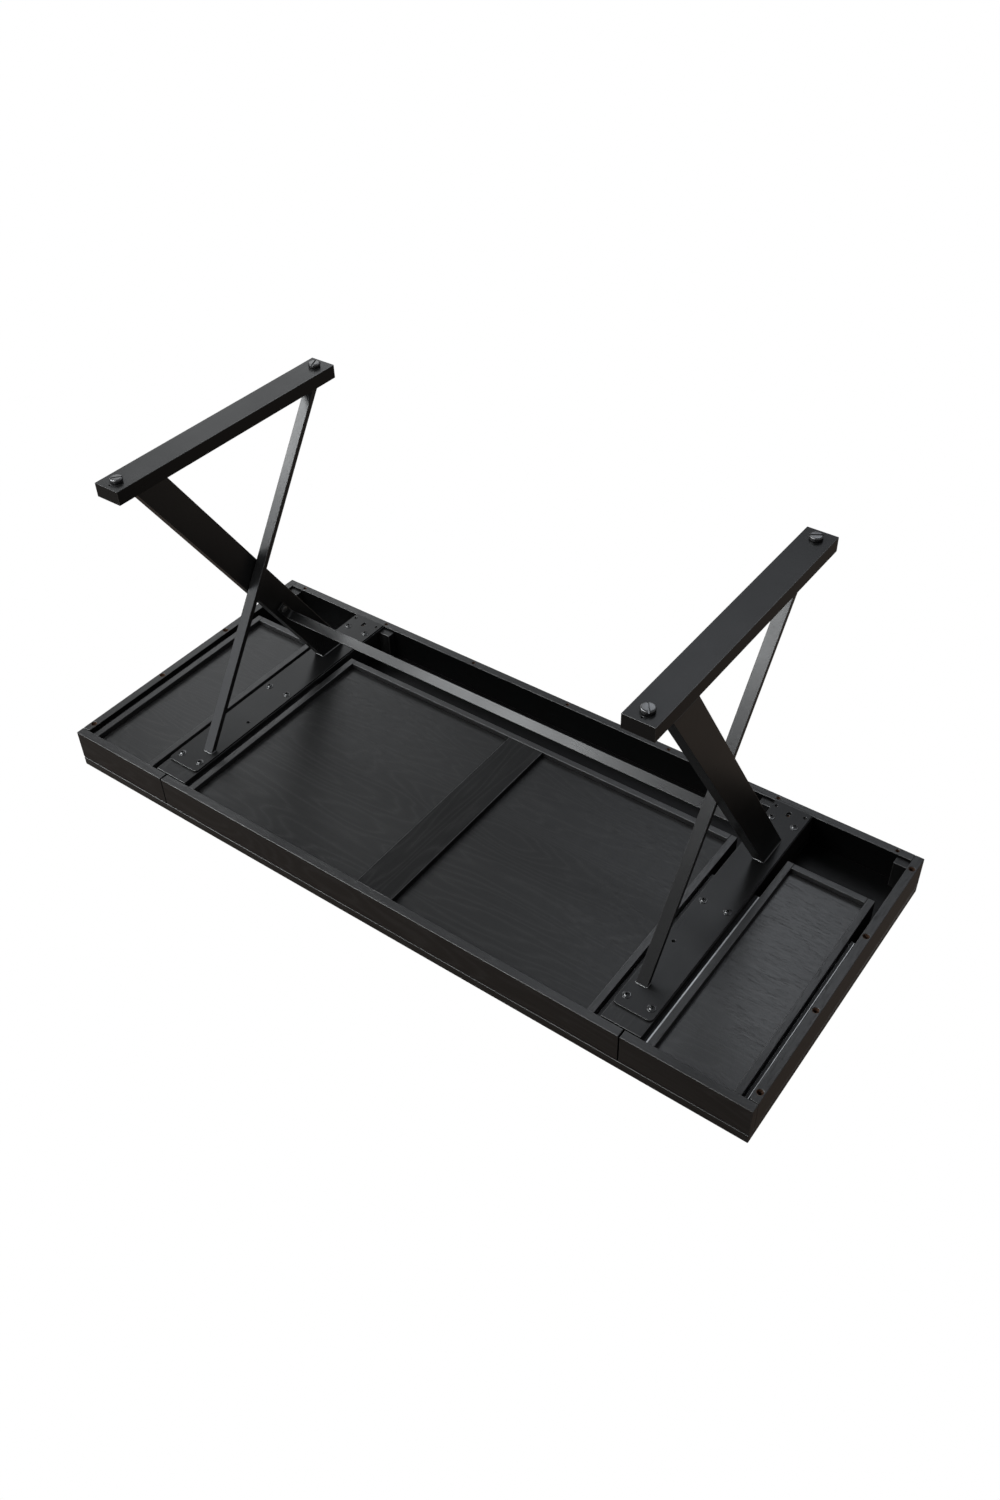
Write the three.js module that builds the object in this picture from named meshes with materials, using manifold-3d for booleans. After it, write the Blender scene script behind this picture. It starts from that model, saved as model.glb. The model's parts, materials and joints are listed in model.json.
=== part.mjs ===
// A desk table with three shallow drawers on two X-shaped steel leg frames.
// Millimetres, +Z up. The origin is the centre of the footprint on the floor,
// the drawers face -Y and the user's right is +X.

import * as THREE from 'three';
import { mergeVertices } from 'three/addons/utils/BufferGeometryUtils.js';
import Module from 'manifold-3d';

const wasm = await Module();
wasm.setup();

// ------------------------------------------------------- driving dimensions

// Overall
const LENGTH = 1600;
const DEPTH = 670;
const HEIGHT = 768;

// Wooden carcass
const TOP_THICKNESS = 20;
const BOX_HEIGHT = 90;            // top surface down to the underside of the rails
const RAIL_THICKNESS = 18;
const RAIL_CORNER_RADIUS = 7;     // inner front corner of a side rail
const DIVIDER_WIDTH = 80;
const DIVIDER_CENTRE_X = 539;
const CORNER_BLOCK = { width: 28, depth: 18, recess: 6 };

// Screw holes in the underside of the rails
const HOLE_DEPTH = 12;
const SIDE_HOLES = { radius: 6, firstY: -295, pitch: 197.5, count: 4 };
const BACK_HOLES = { radius: 4, pitch: 250, count: 7 };

// Drawers
const FRONT_THICKNESS = 18;
const FRONT_TOP_GAP = 2;          // shadow gap under the top
const FRONT_SIDE_GAP = 3;         // between two fronts
const FRONT_EDGE_X = 548;         // middle of the gap between two fronts
const DRAWER_WALL = 14;
const DRAWER_BACK_Y = 187;
const DRAWER_LOW_CLEARANCE = 2;   // drawer walls stop above the rails' underside
const DRAWER_WALL_HEIGHT = 60;
const BOTTOM_RECESS = 12;
const BOTTOM_THICKNESS = 6;
const GROOVE_DEPTH = 5;
const GROOVE_CLEARANCE = 0.25;
const RIB_WIDTH = 84;

// Ball-bearing slides
const SLIDE_GAP = 13;             // carcass face to drawer face
const SLIDE_LENGTH = 400;
const SLIDE_START_Y = -315;
const SLIDE_CENTRE_Z = 708;
const SLIDE_SHEET = 1.5;

// Leg frames
const FRAME_X = 532;              // middle of a floor bar
const BAR = { width: 56, height: 27, wall: 2.5, frontY: -305, backY: 253 };
const FOOT_HEIGHT = 8;            // a leveller's head, floor to floor bar
const PLATE = { width: 78, thickness: 4, frontY: -281, backY: 315, cornerRadius: 9 };
const WIDE_LEG = { width: 23.5, run: 72.5, wall: 2.5, footY: -255.5, plateY: 150.5 };
const NARROW_LEG = { width: 22.5, run: 13.5, footY: 198.5, plateY: -224.5, barInset: 8 };
const PLATE_SCREWS = { radius: 3.2, spacingX: 50, rowsY: [-256, 5.5, 267] };
const PLATE_EAR_HOLES = { radius: 3.5, spacingX: 61, y: 301 };
const PLATE_SLOT = { radius: 4, length: 14, y: 292 };
const PLATE_WIRE_HOLE = { radius: 3.5, inset: 20, y: -108 };

// Levellers
const LEVELLER = { radius: 11.5, stemRadius: 4, stem: 21, endInset: 25 };
const LEVELLER_SLOT = { width: 3, depth: 2.5 };
const STEM_HOLE_RADIUS = 4.5;
const VENT_HOLE = { radius: 2, inset: 9 };

// Stretcher between the wide legs: a flat bar turned square to their slope, its
// ends bent down along them as tabs
const STRETCHER = { width: 20, thickness: 5, tab: 44, bend: 5 };
const LEG_GAP = 0.5;              // stretcher end to the face of the wide leg
const BOLT = { y: 50, z: 479, radius: 4, holeRadius: 4.3, acrossFlats: 13, head: 5.5, length: 20 };
const BOLT_TO_BAR = 28;           // bolt to the stretcher's underside, along the tab

// ------------------------------------------------------ derived dimensions

const TOP_UNDERSIDE = HEIGHT - TOP_THICKNESS;
const BOX_UNDERSIDE = HEIGHT - BOX_HEIGHT;
const FRONT_Y = -DEPTH / 2;
const BACK_Y = DEPTH / 2;
const DRAWER_FRONT_Y = FRONT_Y + FRONT_THICKNESS;
const RAIL_INNER_X = LENGTH / 2 - RAIL_THICKNESS;
const BACK_RAIL_Y = BACK_Y - RAIL_THICKNESS;
const DIVIDER_INNER_X = DIVIDER_CENTRE_X - DIVIDER_WIDTH / 2;
const DIVIDER_OUTER_X = DIVIDER_CENTRE_X + DIVIDER_WIDTH / 2;
const DRAWER_LOW_Z = BOX_UNDERSIDE + DRAWER_LOW_CLEARANCE;
const BOTTOM_Z = DRAWER_LOW_Z + BOTTOM_RECESS;
const BAR_TOP = FOOT_HEIGHT + BAR.height;
const PLATE_LOW_Z = BOX_UNDERSIDE - PLATE.thickness;
const SIDES = [['left', -1], ['right', 1]];
const CIRCLE_STEPS = 20;

// ---------------------------------------------------------------- materials

function finish(color, roughness, metalness) {
  return new THREE.MeshStandardMaterial({ color, roughness, metalness });
}

const blackOak = finish(0x1d1d1f, 0.55, 0);
const blackSteel = finish(0x161719, 0.38, 0.6);
const zinc = finish(0xb9bcc0, 0.3, 0.9);
const gunmetal = finish(0x6e7276, 0.32, 0.9);

// ------------------------------------------------------------------ helpers

const table = new THREE.Group();

function add(name, geometry, material, x = 0, y = 0, z = 0) {
  const mesh = new THREE.Mesh(geometry, material);
  mesh.name = name;
  mesh.position.set(x, y, z);
  table.add(mesh);
  return mesh;
}

// A block between two values on each axis.
function block([x0, x1], [y0, y1], [z0, z1]) {
  const geometry = new THREE.BoxGeometry(Math.abs(x1 - x0), y1 - y0, z1 - z0);
  return geometry.translate((x0 + x1) / 2, (y0 + y1) / 2, (z0 + z1) / 2);
}

// An upright cylinder standing on z.
function pillar(radius, height, x, y, z, steps = CIRCLE_STEPS) {
  const geometry = new THREE.CylinderGeometry(radius, radius, height, steps);
  return geometry.rotateX(Math.PI / 2).translate(x, y, z + height / 2);
}

function polygon(points) {
  return new THREE.Shape(points.map(([x, y]) => new THREE.Vector2(x, y)));
}

// A flat outline in XY, raised along +Z.
function raise(shape, height) {
  return new THREE.ExtrudeGeometry(shape, { depth: height, bevelEnabled: false, curveSegments: 8 });
}

// A profile drawn in XZ, run along +Y from y = 0.
function runAlongY(shape, length) {
  return raise(shape, length).rotateX(Math.PI / 2).translate(0, length, 0);
}

// A profile drawn in YZ, run along +X from x = 0.
function runAlongX(shape, length) {
  return raise(shape, length).rotateZ(Math.PI / 2).rotateY(Math.PI / 2);
}

function toSolid(geometry) {
  const plain = geometry.clone();
  plain.deleteAttribute('normal');
  plain.deleteAttribute('uv');
  const merged = mergeVertices(plain);
  const vertProperties = new Float32Array(merged.attributes.position.array);
  const triVerts = new Uint32Array(merged.index.array);
  return new wasm.Manifold(new wasm.Mesh({ numProp: 3, vertProperties, triVerts }));
}

function toGeometry(solid) {
  const mesh = solid.getMesh();
  const geometry = new THREE.BufferGeometry();
  geometry.setAttribute('position', new THREE.BufferAttribute(mesh.vertProperties, 3));
  geometry.setIndex(new THREE.BufferAttribute(mesh.triVerts, 1));
  geometry.computeVertexNormals();
  return geometry;
}

// The first geometry with every one of the others cut away.
function cutAway(geometry, cutters) {
  let solid = toSolid(geometry);
  for (const cutter of cutters) solid = solid.subtract(toSolid(cutter));
  return toGeometry(solid);
}

// ------------------------------------------------------------------ carcass

function addTabletop() {
  const ends = [-LENGTH / 2, LENGTH / 2];
  add('tabletop', block(ends, [FRONT_Y, BACK_Y], [TOP_UNDERSIDE, HEIGHT]), blackOak);
}

// A side rail's plan, outer face on x = 0, with its inner front corner rounded.
function sideRailPlan(side) {
  const start = DRAWER_FRONT_Y + 1;
  const inner = -side * RAIL_THICKNESS;
  const corner = -side * (RAIL_THICKNESS - RAIL_CORNER_RADIUS);
  const plan = new THREE.Shape();
  plan.moveTo(0, start);
  plan.lineTo(corner, start);
  plan.quadraticCurveTo(inner, start, inner, start + RAIL_CORNER_RADIUS);
  plan.lineTo(inner, BACK_Y);
  plan.lineTo(0, BACK_Y);
  return plan;
}

function addRails() {
  const railHeight = TOP_UNDERSIDE - BOX_UNDERSIDE;
  for (const [name, side] of SIDES) {
    const outer = side * LENGTH / 2;
    const rail = raise(sideRailPlan(side), railHeight).translate(outer, 0, BOX_UNDERSIDE);
    const holes = [];
    for (let i = 0; i < SIDE_HOLES.count; i += 1) {
      const x = side * (LENGTH / 2 - RAIL_THICKNESS / 2);
      const y = SIDE_HOLES.firstY + i * SIDE_HOLES.pitch;
      holes.push(pillar(SIDE_HOLES.radius, HOLE_DEPTH + 1, x, y, BOX_UNDERSIDE - 1));
    }
    add(`${name}_side_rail`, cutAway(rail, holes), blackOak);
  }
  const ends = [-RAIL_INNER_X, RAIL_INNER_X];
  const backRail = block(ends, [BACK_RAIL_Y, BACK_Y], [BOX_UNDERSIDE, TOP_UNDERSIDE]);
  const holes = [];
  for (let i = 0; i < BACK_HOLES.count; i += 1) {
    const x = (i - (BACK_HOLES.count - 1) / 2) * BACK_HOLES.pitch;
    const y = BACK_Y - RAIL_THICKNESS / 2;
    holes.push(pillar(BACK_HOLES.radius, HOLE_DEPTH + 1, x, y, BOX_UNDERSIDE - 1));
  }
  add('back_rail', cutAway(backRail, holes), blackOak);
}

function addDividers() {
  const pilotRadius = 3;
  const frontY = DRAWER_FRONT_Y + 2;
  for (const [name, side] of SIDES) {
    const divider = block([side * DIVIDER_INNER_X, side * DIVIDER_OUTER_X],
      [frontY, BACK_RAIL_Y], [BOX_UNDERSIDE, TOP_UNDERSIDE]);
    const x = side * DIVIDER_CENTRE_X;
    const ear = PLATE_EAR_HOLES.spacingX / 2;
    const holes = [[x - ear, PLATE_EAR_HOLES.y], [x + ear, PLATE_EAR_HOLES.y], [x, PLATE_SLOT.y]]
      .map(([hx, hy]) => pillar(pilotRadius, HOLE_DEPTH + 1, hx, hy, BOX_UNDERSIDE - 1, 12));
    add(`${name}_divider`, cutAway(divider, holes), blackOak);
  }
}

function addCornerBlocks() {
  const { width, depth, recess } = CORNER_BLOCK;
  const zs = [BOX_UNDERSIDE + recess, TOP_UNDERSIDE];
  for (const [name, side] of SIDES) {
    for (const [place, wallX] of [['outer', RAIL_INNER_X], ['inner', DIVIDER_INNER_X]]) {
      const geometry = block([side * (wallX - width), side * wallX],
        [BACK_RAIL_Y - depth, BACK_RAIL_Y], zs);
      add(`${name}_${place}_corner_block`, geometry, blackOak);
    }
  }
}

// ------------------------------------------------------------------ drawers

// A drawer wall's profile: thickness across, height up, with the groove that
// holds the bottom on the side that faces `inward` (+1 or -1).
function wallProfile(inward) {
  const half = DRAWER_WALL / 2;
  const face = inward * half;
  const floor = inward * (half - GROOVE_DEPTH);
  const low = BOTTOM_Z - DRAWER_LOW_Z - GROOVE_CLEARANCE;
  const high = low + BOTTOM_THICKNESS + 2 * GROOVE_CLEARANCE;
  return polygon([[-face, 0], [face, 0], [face, low], [floor, low],
    [floor, high], [face, high], [face, DRAWER_WALL_HEIGHT], [-face, DRAWER_WALL_HEIGHT]]);
}

// One drawer between x0 and x1 (outer faces of its walls), behind a front that
// covers frontX0 to frontX1.
function addDrawer(name, x0, x1, frontX0, frontX1) {
  const frontTop = TOP_UNDERSIDE - FRONT_TOP_GAP;
  add(`${name}_drawer_front`, block([frontX0, frontX1],
    [FRONT_Y, DRAWER_FRONT_Y], [BOX_UNDERSIDE, frontTop]), blackOak);

  const wallLength = DRAWER_BACK_Y - DRAWER_FRONT_Y;
  for (const [end, x, inward] of [['left', x0, 1], ['right', x1, -1]]) {
    add(`${name}_drawer_${end}_wall`, runAlongY(wallProfile(inward), wallLength), blackOak,
      x + inward * DRAWER_WALL / 2, DRAWER_FRONT_Y, DRAWER_LOW_Z);
  }

  const innerX0 = x0 + DRAWER_WALL;
  const innerX1 = x1 - DRAWER_WALL;
  add(`${name}_drawer_back`, runAlongX(wallProfile(-1), innerX1 - innerX0), blackOak,
    innerX0, DRAWER_BACK_Y - DRAWER_WALL / 2, DRAWER_LOW_Z);

  const tongue = GROOVE_DEPTH - GROOVE_CLEARANCE;
  add(`${name}_drawer_bottom`, block([innerX0 - tongue, innerX1 + tongue],
    [DRAWER_FRONT_Y, DRAWER_BACK_Y - DRAWER_WALL + tongue],
    [BOTTOM_Z, BOTTOM_Z + BOTTOM_THICKNESS]), blackOak);
}

function addDrawers() {
  const centreX = DIVIDER_INNER_X - SLIDE_GAP;
  const centreFront = FRONT_EDGE_X - FRONT_SIDE_GAP / 2;
  addDrawer('centre', -centreX, centreX, -centreFront, centreFront);

  const innerX = DIVIDER_OUTER_X + SLIDE_GAP;
  const outerX = RAIL_INNER_X - SLIDE_GAP;
  const frontInner = FRONT_EDGE_X + FRONT_SIDE_GAP / 2;
  addDrawer('left', -outerX, -innerX, -LENGTH / 2, -frontInner);
  addDrawer('right', innerX, outerX, frontInner, LENGTH / 2);

  // The flat rib that keeps the wide bottom from sagging.
  add('centre_drawer_rib', block([-RIB_WIDTH / 2, RIB_WIDTH / 2],
    [DRAWER_FRONT_Y, DRAWER_BACK_Y - DRAWER_WALL], [DRAWER_LOW_Z, BOTTOM_Z]), blackOak);
}

// ------------------------------------------------------------------- slides

// A folded channel: its web stands at `web` from the carcass face and its two
// flanges reach to `lip`, with the outer height given. `towards` is +1 or -1.
function channelProfile(web, lip, height, towards) {
  const turn = Math.sign(lip - web);
  const back = towards * web;
  const front = towards * lip;
  const fold = towards * (web + turn * SLIDE_SHEET);
  const outer = height / 2;
  const inner = outer - SLIDE_SHEET;
  return polygon([[back, -outer], [front, -outer], [front, -inner], [fold, -inner],
    [fold, inner], [front, inner], [front, outer], [back, outer]]);
}

const SLIDE_MEMBERS = [
  { part: 'cabinet', web: 0, lip: 10, height: 35 },
  { part: 'middle', web: 3.5, lip: 11, height: 28 },
  { part: 'drawer', web: SLIDE_GAP, lip: 7, height: 21 },
];

function addSlides() {
  const places = [
    ['left_drawer_left', -RAIL_INNER_X, 1],
    ['left_drawer_right', -DIVIDER_OUTER_X, -1],
    ['centre_drawer_left', -DIVIDER_INNER_X, 1],
    ['centre_drawer_right', DIVIDER_INNER_X, -1],
    ['right_drawer_left', DIVIDER_OUTER_X, 1],
    ['right_drawer_right', RAIL_INNER_X, -1],
  ];
  for (const [name, carcassX, towards] of places) {
    for (const { part, web, lip, height } of SLIDE_MEMBERS) {
      const profile = channelProfile(web, lip, height, towards);
      add(`${name}_slide_${part}_member`, runAlongY(profile, SLIDE_LENGTH), zinc,
        carcassX, SLIDE_START_Y, SLIDE_CENTRE_Z);
    }
  }
}

// --------------------------------------------------------------- leg frames

// A plan outline raised from the floor bar to the plate, leaning along Y so
// that it stands on `footY` and meets the plate at `plateY`.
function leaningLeg(plan, footY, plateY) {
  const rise = PLATE_LOW_Z - BAR_TOP;
  const lean = (plateY - footY) / rise;
  const shear = new THREE.Matrix4().makeShear(0, 0, 0, 0, 0, lean);
  return raise(plan, rise).applyMatrix4(shear).translate(0, footY, BAR_TOP);
}

function rectangle(x0, x1, y0, y1) {
  return polygon([[x0, y0], [x1, y0], [x1, y1], [x0, y1]]);
}

// A hole along X through the inner wall of a wide leg and the stretcher's tab,
// `reach` long on either side of x.
function boltHole(x, reach) {
  const { y, z, holeRadius } = BOLT;
  const geometry = new THREE.CylinderGeometry(holeRadius, holeRadius, 2 * reach, CIRCLE_STEPS);
  return geometry.rotateZ(Math.PI / 2).translate(x, y, z);
}

function addPlate(name, side) {
  const { width, thickness, frontY, backY, cornerRadius: r } = PLATE;
  const half = width / 2;
  const outline = new THREE.Shape();
  outline.moveTo(-half + r, frontY);
  outline.lineTo(half - r, frontY);
  outline.absarc(half - r, frontY + r, r, -Math.PI / 2, 0, false);
  outline.lineTo(half, backY);
  outline.lineTo(-half, backY);
  outline.lineTo(-half, frontY + r);
  outline.absarc(-half + r, frontY + r, r, Math.PI, 1.5 * Math.PI, false);

  const centreX = side * DIVIDER_CENTRE_X;
  const plate = raise(outline, thickness).translate(centreX, 0, PLATE_LOW_Z);
  const through = (radius, x, y) => pillar(radius, thickness + 2, x, y, PLATE_LOW_Z - 1, 16);
  const cutters = [];
  for (const end of [-1, 1]) {
    for (const y of PLATE_SCREWS.rowsY) {
      cutters.push(through(PLATE_SCREWS.radius, centreX + end * PLATE_SCREWS.spacingX / 2, y));
    }
    cutters.push(through(PLATE_EAR_HOLES.radius,
      centreX + end * PLATE_EAR_HOLES.spacingX / 2, PLATE_EAR_HOLES.y));
    const slotReach = PLATE_SLOT.length / 2 - PLATE_SLOT.radius;
    cutters.push(through(PLATE_SLOT.radius, centreX, PLATE_SLOT.y + end * slotReach));
  }
  cutters.push(block([centreX - PLATE_SLOT.radius, centreX + PLATE_SLOT.radius],
    [PLATE_SLOT.y - PLATE_SLOT.length / 2 + PLATE_SLOT.radius,
      PLATE_SLOT.y + PLATE_SLOT.length / 2 - PLATE_SLOT.radius],
    [PLATE_LOW_Z - 1, BOX_UNDERSIDE + 1]));
  cutters.push(through(PLATE_WIRE_HOLE.radius,
    side * (DIVIDER_CENTRE_X - PLATE_WIRE_HOLE.inset), PLATE_WIRE_HOLE.y));
  add(`${name}_mounting_plate`, cutAway(plate, cutters), blackSteel);
}

function addLegs(name, side) {
  const outer = FRAME_X + BAR.width / 2;
  const wideX = outer - WIDE_LEG.width / 2;
  const half = WIDE_LEG.width / 2;
  const endWall = WIDE_LEG.wall * 1.2;   // the leaning walls are thicker in plan
  const tube = rectangle(-half, half, 0, WIDE_LEG.run);
  tube.holes.push(rectangle(-half + WIDE_LEG.wall, half - WIDE_LEG.wall,
    endWall, WIDE_LEG.run - endWall));
  const wideLeg = leaningLeg(tube, WIDE_LEG.footY, WIDE_LEG.plateY).translate(side * wideX, 0, 0);
  const innerFace = side * (outer - WIDE_LEG.width);
  add(`${name}_wide_leg`, cutAway(wideLeg, [boltHole(innerFace, WIDE_LEG.width / 2)]), blackSteel);

  const narrowX = FRAME_X - BAR.width / 2 + NARROW_LEG.barInset + NARROW_LEG.width / 2;
  const strip = rectangle(-NARROW_LEG.width / 2, NARROW_LEG.width / 2, 0, NARROW_LEG.run);
  add(`${name}_narrow_leg`, leaningLeg(strip, NARROW_LEG.footY, NARROW_LEG.plateY), blackSteel,
    side * narrowX);
}

function addFloorBar(name, side) {
  const { width, wall, frontY, backY } = BAR;
  const x = side * FRAME_X;
  const half = width / 2;
  const outside = block([x - half, x + half], [frontY, backY], [FOOT_HEIGHT, BAR_TOP]);
  const cutters = [block([x - half + wall, x + half - wall],
    [frontY + wall, backY - wall], [FOOT_HEIGHT + wall, BAR_TOP - wall])];
  for (const [endY, inward] of [[frontY, 1], [backY, -1]]) {
    const stemY = endY + inward * LEVELLER.endInset;
    cutters.push(pillar(STEM_HOLE_RADIUS, 2 * wall, x, stemY, FOOT_HEIGHT - wall / 2));
    const ventY = endY + inward * VENT_HOLE.inset;
    cutters.push(pillar(VENT_HOLE.radius, 2 * wall, x, ventY, FOOT_HEIGHT - wall / 2, 12));
  }
  add(`${name}_floor_bar`, cutAway(outside, cutters), blackSteel);
}

// A round foot with a screwdriver slot in its underside and a plain stem.
function levellerGeometry() {
  const { radius, stemRadius, stem } = LEVELLER;
  const head = FOOT_HEIGHT;
  const edge = 1;
  const profile = [[0, 0], [radius - edge, 0], [radius, edge], [radius, head - edge],
    [radius - edge, head], [stemRadius, head], [stemRadius, head + stem], [0, head + stem]]
    .map(([r, z]) => new THREE.Vector2(r, z));
  const turned = new THREE.LatheGeometry(profile, 24).rotateX(Math.PI / 2);
  const slot = block([-LEVELLER_SLOT.width / 2, LEVELLER_SLOT.width / 2],
    [-2 * radius, 2 * radius], [-1, LEVELLER_SLOT.depth]);
  return cutAway(turned, [slot]);
}

function addLegFrames() {
  for (const [name, side] of SIDES) {
    addPlate(name, side);
    addLegs(name, side);
    addFloorBar(name, side);
    for (const [end, y] of [['front', BAR.frontY + LEVELLER.endInset],
      ['back', BAR.backY - LEVELLER.endInset]]) {
      add(`${name}_${end}_leveller`, levellerGeometry(), gunmetal, side * FRAME_X, y, 0);
    }
  }
}

// ---------------------------------------------------------------- stretcher

function addStretcher() {
  const { width, thickness, tab, bend } = STRETCHER;
  const reach = FRAME_X + BAR.width / 2 - WIDE_LEG.width - LEG_GAP;
  const innerX = reach - thickness;
  // The profile in XZ, with z = 0 on the bar's underside.
  const profile = new THREE.Shape();
  profile.moveTo(-innerX + bend, 0);
  profile.lineTo(innerX - bend, 0);
  profile.absarc(innerX - bend, -bend, bend, Math.PI / 2, 0, true);
  profile.lineTo(innerX, thickness - tab);
  profile.lineTo(reach, thickness - tab);
  profile.absarc(innerX - bend, -bend, bend + thickness, 0, Math.PI / 2, false);
  profile.absarc(-innerX + bend, -bend, bend + thickness, Math.PI / 2, Math.PI, false);
  profile.lineTo(-reach, thickness - tab);
  profile.lineTo(-innerX, thickness - tab);
  profile.absarc(-innerX + bend, -bend, bend, Math.PI, Math.PI / 2, true);

  const slope = Math.atan2(WIDE_LEG.plateY - WIDE_LEG.footY, PLATE_LOW_Z - BAR_TOP);
  const bar = runAlongY(profile, width).translate(0, -width / 2, BOLT_TO_BAR)
    .rotateX(-slope).translate(0, BOLT.y, BOLT.z);
  const holes = [-reach, reach].map((x) => boltHole(x, 2 * thickness));
  add('stretcher', cutAway(bar, holes), blackSteel);

  const headRadius = BOLT.acrossFlats / Math.sqrt(3);
  for (const [name, side] of SIDES) {
    // The head bears on the tab's inner face and the shank runs outwards.
    const head = new THREE.CylinderGeometry(headRadius, headRadius, BOLT.head, 6)
      .translate(0, -BOLT.head / 2, 0);
    const shank = new THREE.CylinderGeometry(BOLT.radius, BOLT.radius, BOLT.length, 16)
      .translate(0, BOLT.length / 2 - BOLT.head / 2, 0);
    const bolt = toGeometry(toSolid(head).add(toSolid(shank)));
    add(`${name}_stretcher_bolt`, bolt.rotateZ(-side * Math.PI / 2), gunmetal,
      side * innerX, BOLT.y, BOLT.z);
  }
}

addTabletop();
addRails();
addDividers();
addCornerBlocks();
addDrawers();
addSlides();
addLegFrames();
addStretcher();

export default table;
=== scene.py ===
"""Looks for the three-drawer desk table: materials, fasteners, welds, studio and camera.

Everything is in metres in the frame of the CAD part: +Z up, drawers facing -Y.
The camera looks up from below the front left corner, at the drawer box's open side.
"""

import json
import math

import bmesh
import bpy
from mathutils import Matrix, Vector

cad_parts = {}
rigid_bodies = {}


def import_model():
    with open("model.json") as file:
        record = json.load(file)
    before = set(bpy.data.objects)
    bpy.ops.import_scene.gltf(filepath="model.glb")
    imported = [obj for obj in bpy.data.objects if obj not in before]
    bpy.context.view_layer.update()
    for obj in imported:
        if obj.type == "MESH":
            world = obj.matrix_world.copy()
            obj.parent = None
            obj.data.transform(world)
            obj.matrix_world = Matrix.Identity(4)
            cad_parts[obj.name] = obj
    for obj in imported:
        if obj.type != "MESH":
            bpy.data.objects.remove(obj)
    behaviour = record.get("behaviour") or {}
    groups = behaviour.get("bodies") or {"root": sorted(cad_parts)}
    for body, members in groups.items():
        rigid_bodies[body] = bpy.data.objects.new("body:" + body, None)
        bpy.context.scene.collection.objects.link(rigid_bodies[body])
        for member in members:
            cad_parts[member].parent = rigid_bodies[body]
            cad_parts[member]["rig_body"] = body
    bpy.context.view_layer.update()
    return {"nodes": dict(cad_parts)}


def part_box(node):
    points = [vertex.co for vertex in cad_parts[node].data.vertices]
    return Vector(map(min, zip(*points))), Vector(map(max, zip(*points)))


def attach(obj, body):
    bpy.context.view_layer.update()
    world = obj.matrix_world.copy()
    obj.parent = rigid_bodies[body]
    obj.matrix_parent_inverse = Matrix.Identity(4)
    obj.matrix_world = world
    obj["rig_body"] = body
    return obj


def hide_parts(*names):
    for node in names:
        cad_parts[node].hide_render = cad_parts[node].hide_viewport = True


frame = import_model()

MM = 0.001
NODES = frame["nodes"]
BODY_OF = {name: obj["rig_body"] for name, obj in NODES.items()}
SIDES = (("left", -1), ("right", 1))

# Drilled holes in the carcass, as in the CAD part
SIDE_HOLES = {"x": 791 * MM, "first_y": -295 * MM, "pitch": 197.5 * MM, "count": 4,
              "radius": 5.9 * MM, "screw_radius": 4.2 * MM}
BACK_HOLES = {"y": 326 * MM, "pitch": 250 * MM, "count": 7,
              "radius": 3.9 * MM, "screw_radius": 2.9 * MM}
HOLE_DEPTH = 11.9 * MM
PILOT_HOLES = {"at": ((-30.5 * MM, 301 * MM), (30.5 * MM, 301 * MM), (0, 292 * MM)),
               "radius": 2.9 * MM, "depth": 3 * MM}

# Screws through the mounting plates: rows front to back, and their places across a plate
PLATE_SCREW_ROWS = (-256 * MM, 5.5 * MM, 267 * MM)
PLATE_SCREW_OFFSETS = (-25 * MM, 25 * MM)

# Length of a leg's end along the plate or the floor bar
LEG_RUN = {"narrow": 13.5 * MM, "wide": 72.5 * MM}

LEVELLER_TRAVEL = 12 * MM


# ------------------------------------------------------------------ camera

CAMERA_AT = Vector((-1.2293, -1.5366, -1.2211))
CAMERA_FORWARD = Vector((0.44723, 0.58943, 0.67272)).normalized()
CAMERA_RIGHT = Vector((-0.80839, 0.58824, 0.02201)).normalized()
LENS_MM = 32.96


def add_camera():
    data = bpy.data.cameras.new("camera")
    data.lens = LENS_MM
    data.sensor_width = 36
    data.clip_end = 60
    obj = bpy.data.objects.new("camera", data)
    up = CAMERA_RIGHT.cross(CAMERA_FORWARD)
    turn = Matrix((CAMERA_RIGHT, up, -CAMERA_FORWARD)).transposed().to_4x4()
    obj.matrix_world = Matrix.Translation(CAMERA_AT) @ turn
    bpy.context.scene.collection.objects.link(obj)
    bpy.context.scene.camera = obj


# ------------------------------------------------------------------ studio

def one_sided_white(name, strength):
    """White towards the side its normal points to, and clear from behind."""
    material = bpy.data.materials.new(name)
    material.use_nodes = True
    nodes = material.node_tree.nodes
    links = material.node_tree.links
    nodes.clear()
    output = nodes.new("ShaderNodeOutputMaterial")
    mix = nodes.new("ShaderNodeMixShader")
    geometry = nodes.new("ShaderNodeNewGeometry")
    glow = nodes.new("ShaderNodeEmission")
    clear = nodes.new("ShaderNodeBsdfTransparent")
    glow.inputs["Strength"].default_value = strength
    links.new(geometry.outputs["Backfacing"], mix.inputs["Fac"])
    links.new(glow.outputs[0], mix.inputs[1])
    links.new(clear.outputs[0], mix.inputs[2])
    links.new(mix.outputs[0], output.inputs["Surface"])
    return material


def add_floor(name, z, facing_up, half=14):
    """A large white plane that only the camera sees, and only from its front."""
    mesh = bpy.data.meshes.new(name)
    corners = [(-half, -half, z), (half, -half, z), (half, half, z), (-half, half, z)]
    order = (0, 1, 2, 3) if facing_up else (3, 2, 1, 0)
    mesh.from_pydata(corners, [], [order])
    mesh.materials.append(one_sided_white(name + "_white", 1.0))
    obj = bpy.data.objects.new(name, mesh)
    bpy.context.scene.collection.objects.link(obj)
    obj.visible_shadow = False
    obj.visible_diffuse = False
    obj.visible_glossy = False


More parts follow.
